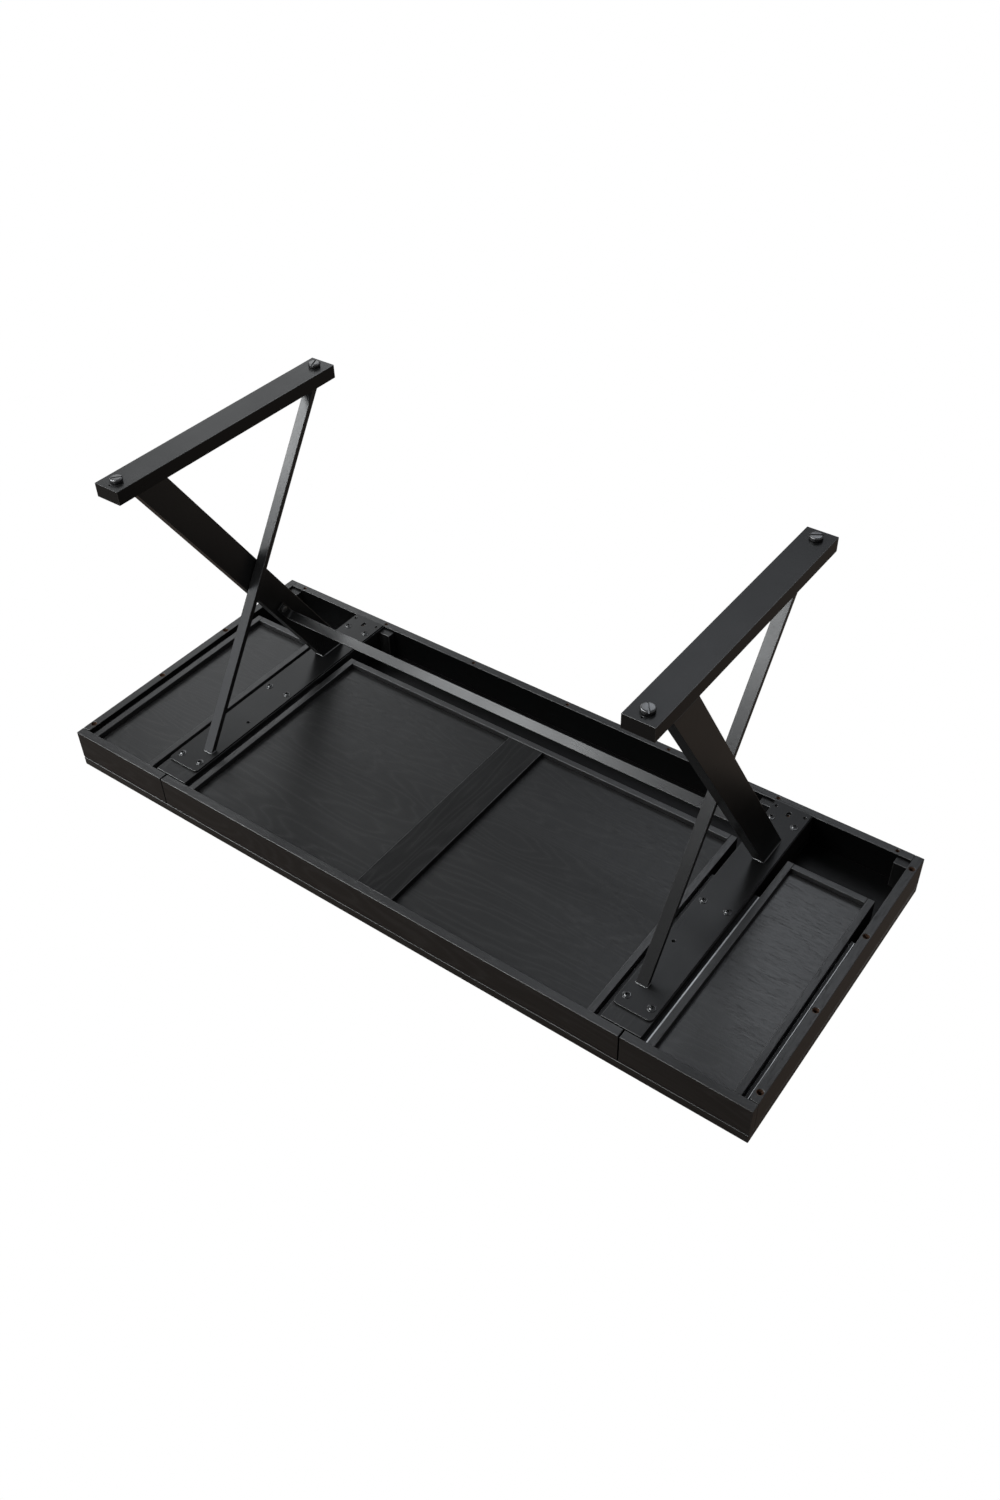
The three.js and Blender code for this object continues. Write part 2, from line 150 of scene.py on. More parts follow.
def add_softbox(name, at, towards, size, strength, colour=(1, 1, 1), only=None):
    """An area light as bright per area whatever its size, for all nodes or `only` some."""
    data = bpy.data.lights.new(name, "AREA")
    data.shape = "RECTANGLE"
    data.size, data.size_y = size
    data.energy = strength * math.pi * size[0] * size[1]
    data.color = colour
    obj = bpy.data.objects.new(name, data)
    direction = Vector(towards) - Vector(at)
    turn = direction.to_track_quat("-Z", "Y").to_matrix().to_4x4()
    obj.matrix_world = Matrix.Translation(at) @ turn
    obj.visible_camera = False
    bpy.context.scene.collection.objects.link(obj)
    if only:
        lit = bpy.data.collections.new(name + "_lit")
        for node in only:
            lit.objects.link(NODES[node])
        obj.light_linking.receiver_collection = lit


# Brightness and colour of the room by height: -1 is straight down, +1 straight up.
ROOM = ((-1.0, (0.17, 0.18, 0.19)), (-0.45, (0.20, 0.205, 0.22)), (0.0, (0.24, 0.235, 0.23)),
        (0.45, (0.175, 0.15, 0.13)), (0.75, (0.09, 0.071, 0.059)), (1.0, (0.057, 0.045, 0.037)))


def add_world():
    """White to the eye; the table itself is lit by a soft grey room."""
    world = bpy.data.worlds.new("studio")
    bpy.context.scene.world = world
    world.use_nodes = True
    nodes = world.node_tree.nodes
    links = world.node_tree.links
    nodes.clear()
    output = nodes.new("ShaderNodeOutputWorld")
    mix = nodes.new("ShaderNodeMixShader")
    path = nodes.new("ShaderNodeLightPath")
    seen = nodes.new("ShaderNodeBackground")
    light = nodes.new("ShaderNodeBackground")
    coords = nodes.new("ShaderNodeTexCoord")
    split = nodes.new("ShaderNodeSeparateXYZ")
    height = nodes.new("ShaderNodeMapRange")
    ramp = nodes.new("ShaderNodeValToRGB")
    height.inputs["From Min"].default_value = -1
    height.inputs["From Max"].default_value = 1
    elements = ramp.color_ramp.elements
    while len(elements) < len(ROOM):
        elements.new(0.5)
    for element, (level, colour) in zip(elements, ROOM):
        element.position = (level + 1) / 2
        element.color = (*colour, 1)
    links.new(coords.outputs["Generated"], split.inputs[0])
    links.new(split.outputs["Z"], height.inputs["Value"])
    links.new(height.outputs["Result"], ramp.inputs["Fac"])
    links.new(ramp.outputs["Color"], light.inputs["Color"])
    links.new(path.outputs["Is Camera Ray"], mix.inputs["Fac"])
    links.new(light.outputs[0], mix.inputs[1])
    links.new(seen.outputs[0], mix.inputs[2])
    seen.inputs["Color"].default_value = (1, 1, 1, 1)
    links.new(mix.outputs[0], output.inputs["Surface"])


def add_studio():
    bpy.context.scene.view_settings.view_transform = "Standard"
    add_world()
    clear = 1 * MM
    table_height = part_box("tabletop")[1].z
    add_floor("floor_for_upright_views", -LEVELLER_TRAVEL - clear, True)
    add_floor("floor_under_the_top", table_height + clear, False)
    middle = (0, 0, 0.5)
    cool = (0.96, 0.985, 1.0)
    add_softbox("window_right", (2.8, 2.1, -1.6), middle, (1.6, 1.6), 1.6, cool)
    blue = (0.90, 0.94, 1.0)
    add_softbox("window_left", (0.25, 1.97, -2.02), (-0.6, -0.1, 0.69), (1.5, 1.2), 1.8, blue)
    add_softbox("above_stretcher", (1.55, -0.95, -2.0), middle, (1.4, 1.0), 8.5, cool)
    add_softbox("front_right", (2.42, -1.85, -1.2), middle, (1.0, 0.8), 13, cool)
    add_softbox("front_left", (0.41, -2.3, -1.45), middle, (1.1, 0.9), 10, cool)
    add_softbox("front_fill", (2.35, -2.5, 0.05), middle, (1.5, 1.1), 1.6, blue)
    add_softbox("overhead", (0.9, 0.9, 3.2), (0.4, 0.4, 0.768), (1.7, 1.7), 5.0)
    add_softbox("top_sheen_front", (2.6, -2.6, 1.7), middle, (2.0, 1.2), 0.6, only=["tabletop"])
    add_softbox("top_sheen_back", (-3.0, 3.0, 1.9), middle, (2.4, 1.2), 1.6, only=["tabletop"])


# --------------------------------------------------------------- materials

class Graph:
    """A short way to wire a material's nodes."""

    def __init__(self, name):
        self.material = bpy.data.materials.new(name)
        self.material.use_nodes = True
        self.tree = self.material.node_tree
        self.bsdf = next(n for n in self.tree.nodes if n.type == "BSDF_PRINCIPLED")

    def feed(self, socket, value):
        """Links a socket to another node's output, or sets its value."""
        if isinstance(value, bpy.types.NodeSocket):
            self.tree.links.new(value, socket)
        else:
            socket.default_value = value

    def node(self, kind, inputs=None, **settings):
        node = self.tree.nodes.new("ShaderNode" + kind)
        for key, value in settings.items():
            setattr(node, key, value)
        for key, value in (inputs or {}).items():
            self.feed(node.inputs[key], value)
        return node

    def place(self, location, rotation=(0, 0, 0), scale=(1, 1, 1)):
        """Object coordinates, turned, then scaled, then shifted."""
        coords = self.node("TexCoord")
        turned = self.node("Mapping", {"Vector": coords.outputs["Object"], "Rotation": rotation})
        mapped = self.node("Mapping", {"Vector": turned.outputs[0], "Scale": scale,
                                       "Location": location})
        return mapped.outputs[0]

    def noise(self, vector, scale, detail=3.0, roughness=0.5):
        node = self.node("TexNoise", {"Vector": vector, "Scale": scale, "Detail": detail,
                                      "Roughness": roughness})
        return node.outputs["Fac"]

    def remap(self, value, low, high, to_low=0.0, to_high=1.0):
        node = self.node("MapRange", {"Value": value, "From Min": low, "From Max": high,
                                      "To Min": to_low, "To Max": to_high})
        node.clamp = True
        return node.outputs["Result"]

    def math(self, operation, a, b=0.0):
        node = self.node("Math", operation=operation)
        for socket, value in zip(node.inputs, (a, b)):
            self.feed(socket, value)
        return node.outputs[0]

    def blend(self, factor, a, b):
        node = self.node("Mix", data_type="RGBA")
        for index, value in ((0, factor), (6, a), (7, b)):  # the colour sockets' places
            self.feed(node.inputs[index], value)
        return node.outputs[2]

    def finish(self, colour, roughness, bump, bump_depth, constants=None):
        self.tree.links.new(colour, self.bsdf.inputs["Base Color"])
        self.tree.links.new(roughness, self.bsdf.inputs["Roughness"])
        relief = self.node("Bump", {"Height": bump, "Strength": 1.0, "Distance": bump_depth})
        self.tree.links.new(relief.outputs[0], self.bsdf.inputs["Normal"])
        for key, value in (constants or {}).items():
            self.bsdf.inputs[key].default_value = value
        return self.material


# The turn that lays a grain along each axis on the textures' X.
GRAIN_TURN = {"X": (0, 0, 0), "Y": (0, 0, math.pi / 2), "Z": (0, math.pi / 2, 0)}


def grey(value, warmth=0.0):
    return (value * (1 + warmth), value, value * (1 - warmth), 1)


def black_oak(name, grain, seed, gloss=0.5, inside=(0, 0, 0)):
    """Oak veneer, stained black and lacquered satin, with the grain along one axis.

    Faces that point `inside` the box get a painted shade: a darker colour and less gloss for the
    shade inside the box.
    """
    g = Graph(name)
    turn = GRAIN_TURN[grain]
    shift = (seed * 3.7, seed * 1.9, seed * 0.7)
    # Growth lines: long contours that wander and close on themselves.
    figure_at = g.place(shift, turn, (1.5, 9, 9))
    field = g.noise(figure_at, 1.0, 2.5, 0.42)
    lines = g.math("PINGPONG", g.math("MULTIPLY", field, 52.0), 1.0)
    lines = g.math("POWER", g.remap(lines, 0.1, 0.95), 2.5)
    # Pores: short fine streaks along the grain, gathered in the growth lines.
    pores_at = g.place(shift, turn, (42, 950, 950))
    pores = g.remap(g.noise(pores_at, 1.0, 2.0, 0.6), 0.52, 0.72)
    pores = g.math("MULTIPLY", pores, g.remap(lines, 0.0, 1.0, 0.35, 1.0))
    fibre = g.noise(g.place(shift, turn, (9, 240, 240)), 1.0, 3.0, 0.6)
    cloud = g.noise(g.place(shift), 2.3, 2.0)
    tone = g.math("ADD", g.math("MULTIPLY", lines, 0.5), g.math("MULTIPLY", fibre, 0.5))
    stain = g.blend(tone, grey(0.0035, 0.02), grey(0.0165, 0.02))
    stain = g.blend(g.math("MULTIPLY", pores, 0.7), stain, grey(0.003))
    rough = g.math("ADD", g.remap(cloud, 0.3, 0.7, 0.34, 0.38), g.math("MULTIPLY", pores, 0.2))
    rough = g.math("SUBTRACT", rough, g.math("MULTIPLY", lines, 0.015))
    # Painted shade: faces turned inwards are darkened and lose gloss, for the shade inside the box.
    if any(inside):
        normal = g.node("NewGeometry").outputs["Normal"]
        facing = g.node("VectorMath", {0: normal, 1: inside}, operation="DOT_PRODUCT")
        painted_shade = g.remap(facing.outputs["Value"], 0.4, 0.8)
        stain = g.blend(painted_shade, stain, grey(0.0022))
        shine = g.math("MULTIPLY", g.math("SUBTRACT", 1.0, g.math("MULTIPLY", painted_shade, 0.72)), gloss)
        g.tree.links.new(shine, g.bsdf.inputs["Specular IOR Level"])
    height = g.math("SUBTRACT", g.math("MULTIPLY", fibre, 0.25), pores)
    return g.finish(stain, rough, height, 0.00012, {"Specular IOR Level": gloss})


def black_steel(name, axis, seed, gloss=0.5):
    """Satin black coating on steel: fine orange peel over faint drawing marks."""
    g = Graph(name)
    shift = (seed * 2.3, seed * 4.1, seed * 1.3)
    drawn = g.noise(g.place(shift, GRAIN_TURN[axis], (4, 420, 420)), 1.0, 2.0, 0.6)
    peel = g.noise(g.place(shift), 900.0, 2.0, 0.5)
    cloud = g.noise(g.place(shift), 6.0, 3.0, 0.55)
    wear = g.remap(g.noise(g.place(shift), 60.0, 4.0, 0.7), 0.62, 0.8)
    colour = g.blend(drawn, grey(0.005), grey(0.0085))
    colour = g.blend(g.math("MULTIPLY", wear, 0.3), colour, grey(0.03))
    rough = g.math("ADD", g.remap(cloud, 0.3, 0.7, 0.24, 0.31), g.math("MULTIPLY", drawn, 0.07))
    height = g.math("ADD", g.math("MULTIPLY", peel, 0.6), g.math("MULTIPLY", drawn, 0.25))
    return g.finish(colour, rough, height, 0.00003, {"Specular IOR Level": gloss})


def edge_with_painted_highlight(name, shade, roughness):
    """The rounded edges: thicker, shinier coating, and a lighter colour in patches that is a painted
    highlight.
    """
    g = Graph(name)
    highlight_patches = g.remap(g.noise(g.place((3, 1, 2)), 38.0, 4.0, 0.65), 0.35, 0.75)
    fine = g.noise(g.place((5, 4, 1)), 420.0, 2.0, 0.6)
    # Painted highlight: the edge colour runs lighter than the faces beside it, most in the noise's
    # patches.
    colour = g.blend(highlight_patches, grey(shade * 0.5), grey(shade * 1.6, 0.02))
    rough = g.math("ADD", g.remap(highlight_patches, 0.0, 1.0, roughness + 0.05, roughness - 0.04),
                   g.math("MULTIPLY", fine, 0.05))
    return g.finish(colour, rough, fine, 0.00002, {"Specular IOR Level": 0.9})


def plated_steel(name, shade, roughness, seed, axis="Y"):
    """Bare or plated steel with drawing marks along one axis and a cloudy tarnish."""
    g = Graph(name)
    shift = (seed * 1.7, seed * 2.9, seed * 5.3)
    drawn = g.noise(g.place(shift, GRAIN_TURN[axis], (12, 1500, 1500)), 1.0, 2.0, 0.6)
    cloud = g.noise(g.place(shift), 45.0, 4.0, 0.6)
    colour = g.blend(cloud, grey(shade * 0.8, -0.02), grey(shade * 1.15, 0.01))
    rough = g.math("ADD", g.remap(cloud, 0.3, 0.7, roughness - 0.05, roughness + 0.06),
                   g.math("MULTIPLY", drawn, 0.08))
    return g.finish(colour, rough, drawn, 0.00002, {"Metallic": 1.0})


def raw_wood(name):
    """Bare board inside the drilled holes: pale brown chips with dark gaps."""
    g = Graph(name)
    chips = g.noise(g.place((0, 0, 0)), 700.0, 3.0, 0.7)
    cloud = g.noise(g.place((1, 2, 3)), 160.0, 2.0)
    tone = g.math("MULTIPLY", g.remap(chips, 0.35, 0.7), g.remap(cloud, 0.2, 0.8, 0.6, 1.0))
    colour = g.blend(tone, (0.028, 0.013, 0.007, 1), (0.16, 0.075, 0.036, 1))
    return g.finish(colour, g.remap(chips, 0.3, 0.7, 0.7, 0.95), chips, 0.0003)


# ------------------------------------------------------- shapes in mesh code

def object_from(name, bm, material, body, bevel=None, smooth=40, second=None):
    """A finished piece: welded, shaded and riding on its body."""
    bmesh.ops.remove_doubles(bm, verts=bm.verts, dist=1e-6)
    bmesh.ops.recalc_face_normals(bm, faces=bm.faces)
    mesh = bpy.data.meshes.new(name)
    bm.to_mesh(mesh)
    bm.free()
    mesh.materials.append(material)
    if second:
        mesh.materials.append(second)
    mesh.shade_smooth()
    mesh.set_sharp_from_angle(angle=math.radians(smooth))
    obj = bpy.data.objects.new(name, mesh)
    bpy.context.scene.collection.objects.link(obj)
    if bevel:
        add_bevel(obj, bevel)
    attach(obj, body)
    return obj


def smooth_edges_group():
    """A geometry node group that smooths the rounded edges and leaves the flat faces flat."""
    group = bpy.data.node_groups.get("smooth_edges")
    if group is None:
        group = bpy.data.node_groups.new("smooth_edges", "GeometryNodeTree")
        for side in ("INPUT", "OUTPUT"):
            group.interface.new_socket("Geometry", in_out=side, socket_type="NodeSocketGeometry")
        start = group.nodes.new("NodeGroupInput")
        rounded = group.nodes.new("GeometryNodeInputMaterialIndex")
        smooth = group.nodes.new("GeometryNodeSetShadeSmooth")
        end = group.nodes.new("NodeGroupOutput")
        group.links.new(start.outputs[0], smooth.inputs["Geometry"])
        group.links.new(rounded.outputs[0], smooth.inputs["Selection"])
        group.links.new(smooth.outputs[0], end.inputs[0])
    return group


def add_bevel(obj, width, segments=2):
    modifier = obj.modifiers.new("bevel", "BEVEL")
    modifier.width = width
    modifier.segments = segments
    modifier.limit_method = "ANGLE"
    modifier.angle_limit = math.radians(40)
    modifier.use_clamp_overlap = False
    smooth = obj.modifiers.new("smooth", "NODES")
    smooth.node_group = smooth_edges_group()
    weighted = obj.modifiers.new("normals", "WEIGHTED_NORMAL")
    weighted.keep_sharp = False
    weighted.weight = 90


def turned(bm, profile, at, steps=32):
    """Adds the solid turned from (radius, height) points about an axis along Z."""
    rings = []
    for radius, height in profile:
        if radius == 0:
            rings.append([bm.verts.new(at + Vector((0, 0, height)))])
            continue
        ring = []
        for i in range(steps):
            angle = 2 * math.pi * i / steps
            offset = Vector((radius * math.cos(angle), radius * math.sin(angle), height))
            ring.append(bm.verts.new(at + offset))
        rings.append(ring)
    for low, high in zip(rings, rings[1:]):
        for i in range(steps):
            j = (i + 1) % steps
            corners = [low[i % len(low)], low[j % len(low)],
                       high[j % len(high)], high[i % len(high)]]
            unique = list(dict.fromkeys(corners))
            if len(unique) > 2:
                bm.faces.new(unique)


def boxed(bm, low, high, turn=None):
    """Adds a block between two corners, turned if asked."""
    corners = []
    for x in (low[0], high[0]):
        for y in (low[1], high[1]):
            for z in (low[2], high[2]):
                point = Vector((x, y, z))
                corners.append(bm.verts.new(turn @ point if turn else point))
    for face in ((0, 1, 3, 2), (4, 6, 7, 5), (0, 4, 5, 1), (2, 3, 7, 6), (0, 2, 6, 4), (1, 5, 7, 3)):
        bm.faces.new([corners[i] for i in face])


def swept(bm, path, section):
    """Adds a closed-ended sweep of a section, given at each point of a path."""
    rings = []
    for index, point in enumerate(path):
        before = path[max(index - 1, 0)]
        after = path[min(index + 1, len(path) - 1)]
        along = (after - before).normalized()
        side = along.orthogonal().normalized()
        other = along.cross(side)
        ring = [bm.verts.new(point + side * a + other * b) for a, b in section(index)]
        rings.append(ring)
    for low, high in zip(rings, rings[1:]):
        count = len(low)
        for i in range(count):
            j = (i + 1) % count
            bm.faces.new((low[i], low[j], high[j], high[i]))
    bm.faces.new(list(reversed(rings[0])))
    bm.faces.new(rings[-1])


def carved(bm, cutter):
    """The first solid with the second cut away; both are used up."""
    objects = []
    for label, source in (("solid", bm), ("cutter", cutter)):
        bmesh.ops.recalc_face_normals(source, faces=source.faces)
        mesh = bpy.data.meshes.new(label)
        source.to_mesh(mesh)
        source.free()
        obj = bpy.data.objects.new(label, mesh)
        bpy.context.scene.collection.objects.link(obj)
        objects.append(obj)
    solid, tool = objects
    modifier = solid.modifiers.new("cut", "BOOLEAN")
    modifier.object = tool
    modifier.operation = "DIFFERENCE"
    modifier.solver = "EXACT"
    depsgraph = bpy.context.evaluated_depsgraph_get()
    result = bmesh.new()
    result.from_mesh(bpy.data.meshes.new_from_object(solid.evaluated_get(depsgraph)))
    for obj in objects:
        bpy.data.objects.remove(obj)
    return result


# --------------------------------------------------- materials on CAD nodes

def grain_axis(name):
    if name.endswith(("_wall", "_side_rail", "_divider", "_rib")):
        return "Y"
    if name.endswith("_corner_block"):
        return "Z"
    return "X"


def oak_gloss(name):
    if name.endswith(("_rail", "_wall", "_front", "_back")):
        return 0.7
    special = {"left_drawer_bottom": 0.9, "right_drawer_bottom": 0.55,
               "centre_drawer_rib": 0.2, "tabletop": 0.6}
    return special.get(name, 0.42)


# Which way is inwards on the boards whose inner faces get a painted shade, darker and less glossy
SHADED_INSIDE = {"back_rail": (0, -1, 0), "left_side_rail": (1, 0, 0), "right_side_rail": (-1, 0, 0),
          "tabletop": (0, 0, -1)}
# Axis of the drawing marks and gloss, by the ending of a node's name
STEEL = {"stretcher": ("X", 0.6), "_leg": ("Z", 0.6), "_plate": ("Y", 0.29),
         "_floor_bar": ("Y", 0.24)}
EDGE_WIDTH = {"oak": 1.3 * MM, "steel": 0.8 * MM, "slide": 0.4 * MM}


def dress_cad_nodes(slide_highlight):
    # Lit and shaded copies of one slide steel: the dark flat faces are painted shade in the gaps,
    # the bright zinc edges a painted highlight.
    slide_shade = plated_steel("slide_painted_shade", 0.045, 0.42, 5)
    oak_edge = edge_with_painted_highlight("black_oak_edge", 0.02, 0.28)
    steel_edge = edge_with_painted_highlight("black_steel_edge", 0.02, 0.17)
    for index, (name, obj) in enumerate(sorted(NODES.items())):
        if name.endswith(("_leveller", "_bolt")):  # replaced by pieces
            continue
        steel = next((kind for ending, kind in STEEL.items() if name.endswith(ending)), None)
        if "_slide_" in name:
            look, edge, width = slide_shade, slide_highlight, EDGE_WIDTH["slide"]
        elif steel:
            axis, gloss = steel
            look = black_steel("steel_" + name, axis, index, gloss)
            edge, width = steel_edge, EDGE_WIDTH["steel"]
        else:
            look = black_oak("oak_" + name, grain_axis(name), index, oak_gloss(name),
                             SHADED_INSIDE.get(name, (0, 0, 0)))
            edge, width = oak_edge, EDGE_WIDTH["oak"]
        obj.data.materials.clear()
        obj.data.materials.append(look)
        obj.data.materials.append(edge)
        # Triangles become whole flat faces first, so that only true edges are rounded.
        weld = obj.modifiers.new("weld", "WELD")
        weld.merge_threshold = 0.01 * MM
        planar = obj.modifiers.new("planar", "DECIMATE")
        planar.decimate_type = "DISSOLVE"
        planar.angle_limit = math.radians(0.5)
        add_bevel(obj, width, 3)
        obj.modifiers["bevel"].material = 1


# --------------------------------------------------------------- levellers

def add_levellers(metal):
    """Turned feet with a screwdriver slot, each stopped at its own angle."""
    stem = 4 * MM
    angles = {"left_front": -36, "left_back": 58, "right_front": 40, "right_back": -20}
    for place, angle in angles.items():
        node = place + "_leveller"
        low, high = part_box(node)
        centre = Vector(((low.x + high.x) / 2, (low.y + high.y) / 2, 0))
        radius = (high.x - low.x) / 2
        head = 8 * MM
        profile = [(0, 0), (radius - 3 * MM, 0), (radius - 1.2 * MM, 0.35 * MM),
                   (radius - 0.4 * MM, 1.0 * MM), (radius - 0.05 * MM, 2.0 * MM),
                   (radius, 3.0 * MM), (radius, head - 1.2 * MM),
                   (radius - 0.5 * MM, head - 0.5 * MM), (radius - 1.4 * MM, head - 0.05 * MM),
                   (stem, head - 0.02 * MM), (stem, high.z), (0, high.z)]
        body = bmesh.new()
        turned(body, profile, centre, 48)
        cutter = bmesh.new()
        turn = Matrix.Translation(centre) @ Matrix.Rotation(math.radians(angle), 4, "Z")
        boxed(cutter, (-1.4 * MM, -20 * MM, -2 * MM), (1.4 * MM, 20 * MM, 3.2 * MM), turn)
        piece = object_from(place + "_foot", carved(body, cutter), metal, BODY_OF[node],
                            0.3 * MM, 30)
        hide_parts(node)


# ---------------------------------------------------------------- fasteners

def screw_head(radius, height, flange=0):
    """A pan head hanging below the origin, on a flange if asked, with a cross recess in painted
    shade.
    """
    head = bmesh.new()
    foot = radius
    base = -0.5 * MM
    profile = [(0, 0.6 * MM)]
    if flange:
        profile += [(flange - 0.1 * MM, 0.6 * MM), (flange, -0.5 * MM),
                    (flange - 0.5 * MM, -0.9 * MM)]
        foot, base = radius + 0.3 * MM, -1.1 * MM
    else:
        profile += [(radius * 0.98, 0.6 * MM)]
    profile += [(foot, base)]
    for i in range(1, 7):
        angle = math.radians(15 * i)
        profile.append((radius * math.cos(angle) if i < 6 else 0,
                        base - (height + base) * math.sin(angle)))
    turned(head, profile, Vector((0, 0, 0)), 28)
    for quarter in (0, 90):
        cutter = bmesh.new()
        turn = Matrix.Rotation(math.radians(quarter), 4, "Z")
        boxed(cutter, (-radius * 0.17, -radius * 0.62, -6 * MM),
              (radius * 0.17, radius * 0.62, -height * 0.3), turn)
        head = carved(head, cutter)
    head.normal_update()
    # Painted shade: the recess's walls and floor take the second, near-black material.
    for face in head.faces:
        centre = face.calc_center_median()
        if centre.xy.length < radius * 0.64 and (abs(face.normal.z) < 0.5 or
                                                 centre.z > -height * 0.5):
            face.material_index = 1
    return head


def place_screw(name, head, at, turn_degrees, metal, recess):
    copy = head.copy()
    turn = Matrix.Translation(at) @ Matrix.Rotation(math.radians(turn_degrees), 4, "Z")
    bmesh.ops.transform(copy, matrix=turn, verts=copy.verts)
    object_from(name, copy, metal, "table", 0.15 * MM, second=recess)


def add_plate_screws(metal, recess):
    low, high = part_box("right_mounting_plate")
    centre_x = (low.x + high.x) / 2
    head = screw_head(5.6 * MM, 3.8 * MM, 8.3 * MM)
    number = 0
    for _, side in SIDES:
        for row in PLATE_SCREW_ROWS:
            for offset in PLATE_SCREW_OFFSETS:
                number += 1
                at = Vector((side * centre_x + offset, row, low.z))
                place_screw(f"plate_screw_{number:02d}", head, at, 37 * number, metal, recess)


def hole_lining(name, at, radius, depth, wood):
    """A cup of bare wood in a drilled hole, open at the underside."""
    wall = 0.45 * MM
    lining = bmesh.new()
    profile = [(0, depth), (radius, depth), (radius, 0.9 * MM), (radius - wall, 0.7 * MM),
               (radius - wall * 1.4, depth - 0.6 * MM), (0, depth - 0.6 * MM)]
    turned(lining, profile, at, 24)
    object_from(name, lining, wood, "table")


def add_hole_linings(wood, metal, recess):
    """Bare wood in the holes under the rails and dividers, and a sunk screw in the rails' ones."""
    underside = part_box("back_rail")[0].z
    divider_low, divider_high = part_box("right_divider")
    divider_x = (divider_low.x + divider_high.x) / 2
    holes = [(side * SIDE_HOLES["x"], SIDE_HOLES["first_y"] + SIDE_HOLES["pitch"] * i, SIDE_HOLES)
             for _, side in SIDES for i in range(SIDE_HOLES["count"])]
    middle = (BACK_HOLES["count"] - 1) / 2
    holes += [(BACK_HOLES["pitch"] * (i - middle), BACK_HOLES["y"], BACK_HOLES)
              for i in range(BACK_HOLES["count"])]
    for number, (x, y, kind) in enumerate(holes, 1):
        hole_lining(f"hole_lining_{number:02d}", Vector((x, y, underside)), kind["radius"],
                    HOLE_DEPTH, wood)
        at = Vector((x, y, underside + HOLE_DEPTH - 0.7 * MM))
        place_screw(f"rail_screw_{number:02d}", screw_head(kind["screw_radius"], 2.0 * MM), at,
                    23 * number, metal, recess)
    number = 0
    for _, side in SIDES:
        for offset, y in PILOT_HOLES["at"]:
            number += 1
            at = Vector((side * divider_x + offset, y, underside))
            hole_lining(f"pilot_lining_{number:02d}", at, PILOT_HOLES["radius"],
                        PILOT_HOLES["depth"], wood)


def add_slide_hems(metal):
    """Folded hems under the end drawer's two outer slide members, in bright zinc as a painted
    highlight.
    """
    for side, inset, width in (("right", 0, 2.8 * MM), ("left", 3.2 * MM, 1.6 * MM)):
        low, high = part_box(f"left_drawer_{side}_slide_cabinet_member")
        hem = bmesh.new()
        boxed(hem, (low.x + inset, low.y + 2 * MM, low.z - 0.5 * MM),
              (low.x + inset + width, high.y - 1 * MM, low.z + 0.6 * MM))
        object_from(f"left_drawer_{side}_slide_hem", hem, metal, "table", 0.4 * MM)


def add_stretcher_bolts(metal):
    """Hexagon bolts with a chamfered head and a washer, through the stretcher's tabs."""
    for side_name, side in SIDES:
        node = side_name + "_stretcher_bolt"
        low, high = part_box(node)
        centre_y = (low.y + high.y) / 2
        centre_z = (low.z + high.z) / 2
        inner = min(abs(low.x), abs(high.x))
        head = 5.5 * MM
        face = inner + head
        turn = (Matrix.Translation((side * face, centre_y, centre_z))
                @ Matrix.Rotation(math.radians(90 * side), 4, "Y"))
        bm = bmesh.new()
        turned(bm, [(0, -head), (5.9 * MM, -head), (7.4 * MM, -head + 0.9 * MM),
                    (7.4 * MM, -1.1 * MM), (0, -1.1 * MM)], Vector((0, 0, 0)), 6)
        turned(bm, [(0, -1.1 * MM), (7.2 * MM, -1.1 * MM), (7.5 * MM, -0.8 * MM),
                    (7.5 * MM, 0), (3.9 * MM, 0), (3.9 * MM, 15 * MM), (0, 15 * MM)],
               Vector((0, 0, 0)), 30)
        bmesh.ops.transform(bm, matrix=turn, verts=bm.verts)
        piece = object_from(side_name + "_hex_bolt", bm, metal, "table",
                            0.25 * MM, 30)
        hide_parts(node)


# --------------------------------------------------------------- weld beads

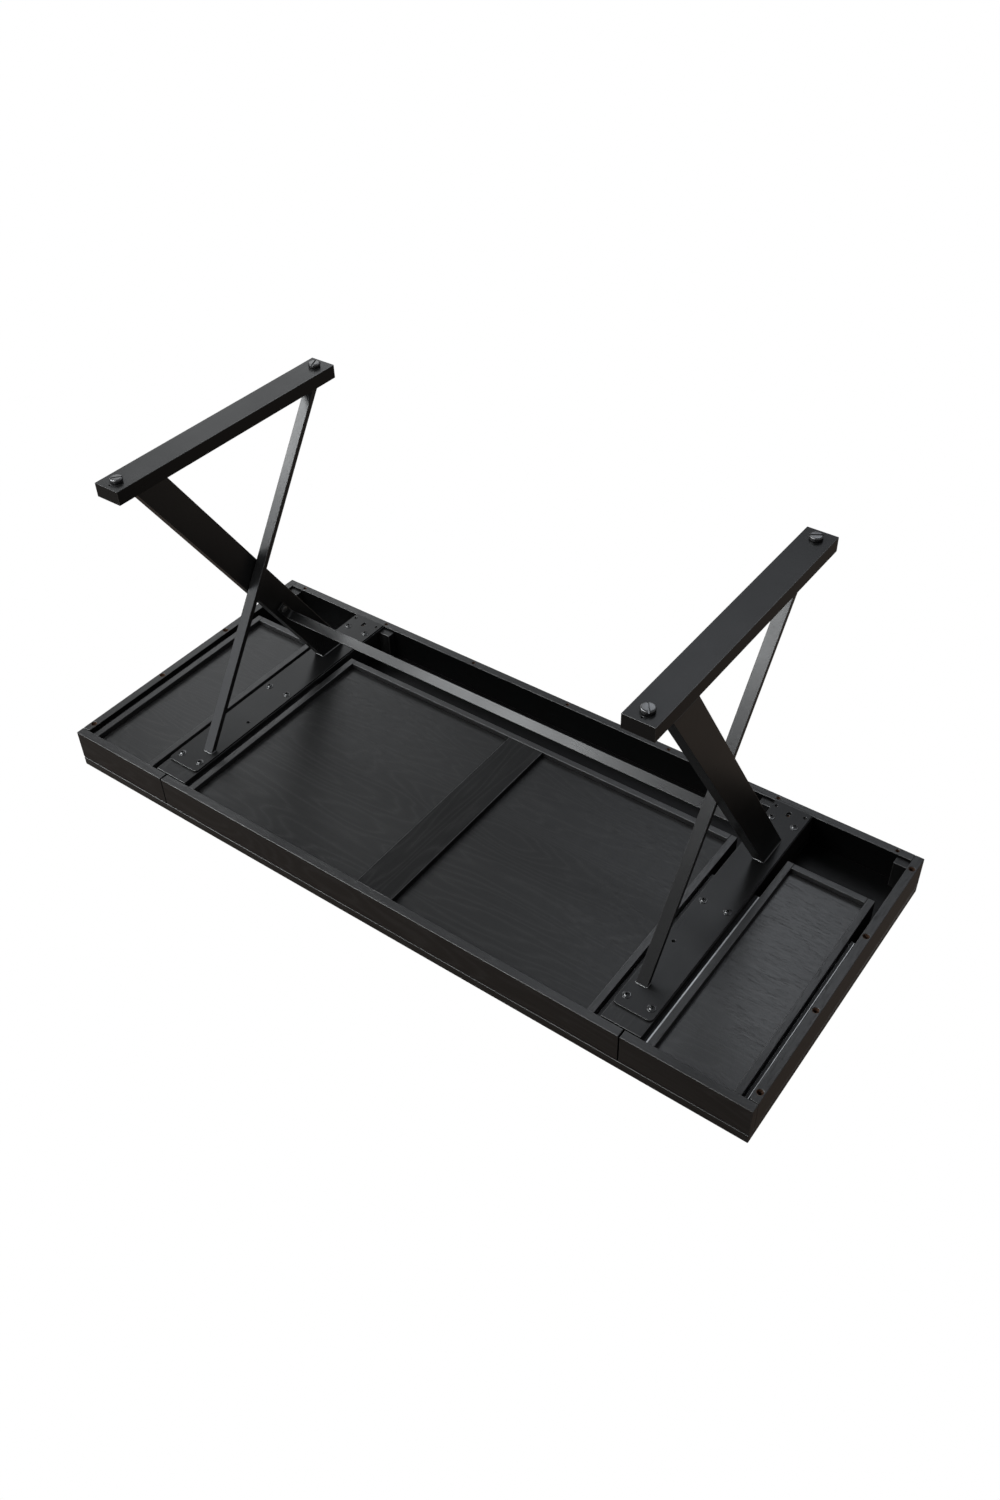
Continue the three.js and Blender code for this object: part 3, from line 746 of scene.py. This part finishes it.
def weld_bead(name, start, end, radius, metal, pitch=2.2 * MM, steps=6):
    """A row of overlapping scallops between two points, each made in a few steps."""
    start, end = Vector(start), Vector(end)
    count = max(steps, int((end - start).length / pitch) * steps)
    path = [start.lerp(end, i / count) for i in range(count + 1)]

    def section(index):
        along = index / count
        taper = min(1.0, 8 * along, 8 * (1 - along)) * 0.75 + 0.25
        scallop = 0.86 + 0.14 * abs(math.sin(index * math.pi / steps))
        size = radius * taper * scallop
        return [(size * math.cos(a), size * math.sin(a))
                for a in (2 * math.pi * k / 10 for k in range(10))]

    bm = bmesh.new()
    swept(bm, path, section)
    return object_from(name, bm, metal, "table", smooth=60)


def add_welds(metal):
    for side_name, side in SIDES:
        plate_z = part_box(side_name + "_mounting_plate")[0].z
        bar_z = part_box(side_name + "_floor_bar")[1].z
        for leg, run in LEG_RUN.items():
            low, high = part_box(f"{side_name}_{leg}_leg")
            outer = max(abs(low.x), abs(high.x))
            ends = ((plate_z, high.y if leg == "wide" else low.y + run),
                    (bar_z, low.y + run if leg == "wide" else high.y))
            for place, (z, back) in zip(("plate", "bar"), ends):
                front = back - run
                label = f"{side_name}_{leg}_{place}_weld_"
                weld_bead(label + "front", (low.x, front, z), (high.x, front, z), 1.8 * MM, metal)
                weld_bead(label + "back", (low.x, back, z), (high.x, back, z), 1.8 * MM, metal)
                for tag, x in (("a", low.x), ("b", high.x)):
                    if leg == "wide" and place == "bar" and abs(x) == outer:
                        continue  # flush with the floor bar's side, so there is no corner
                    weld_bead(label + tag, (x, front, z), (x, back, z), 1.5 * MM, metal)


# --------------------------------------------------------------------- main

add_camera()
add_studio()
# Bright zinc on the slides' edges and hems: a painted highlight along the drawer gaps.
zinc_painted_highlight = plated_steel("zinc_painted_highlight", 0.55, 0.3, 1)
dress_cad_nodes(zinc_painted_highlight)
gunmetal = plated_steel("gunmetal", 0.17, 0.3, 2)
screw_steel = plated_steel("screw_steel", 0.13, 0.2, 3)
dark_screw = plated_steel("dark_screw", 0.085, 0.2, 3)
# Near black for the screws' cross recesses: painted shade.
painted_recess_shade = plated_steel("screw_recess_painted_shade", 0.012, 0.5, 6)
# Bright bare steel on the weld beads: partly the welds' metal, partly a painted highlight at the
# legs' ends.
weld_metal_and_highlight = plated_steel("weld_metal_and_highlight", 0.2, 0.25, 4, "X")
add_levellers(gunmetal)
add_plate_screws(screw_steel, painted_recess_shade)
add_hole_linings(raw_wood("raw_wood"), dark_screw, painted_recess_shade)
add_stretcher_bolts(gunmetal)
add_slide_hems(zinc_painted_highlight)
add_welds(weld_metal_and_highlight)
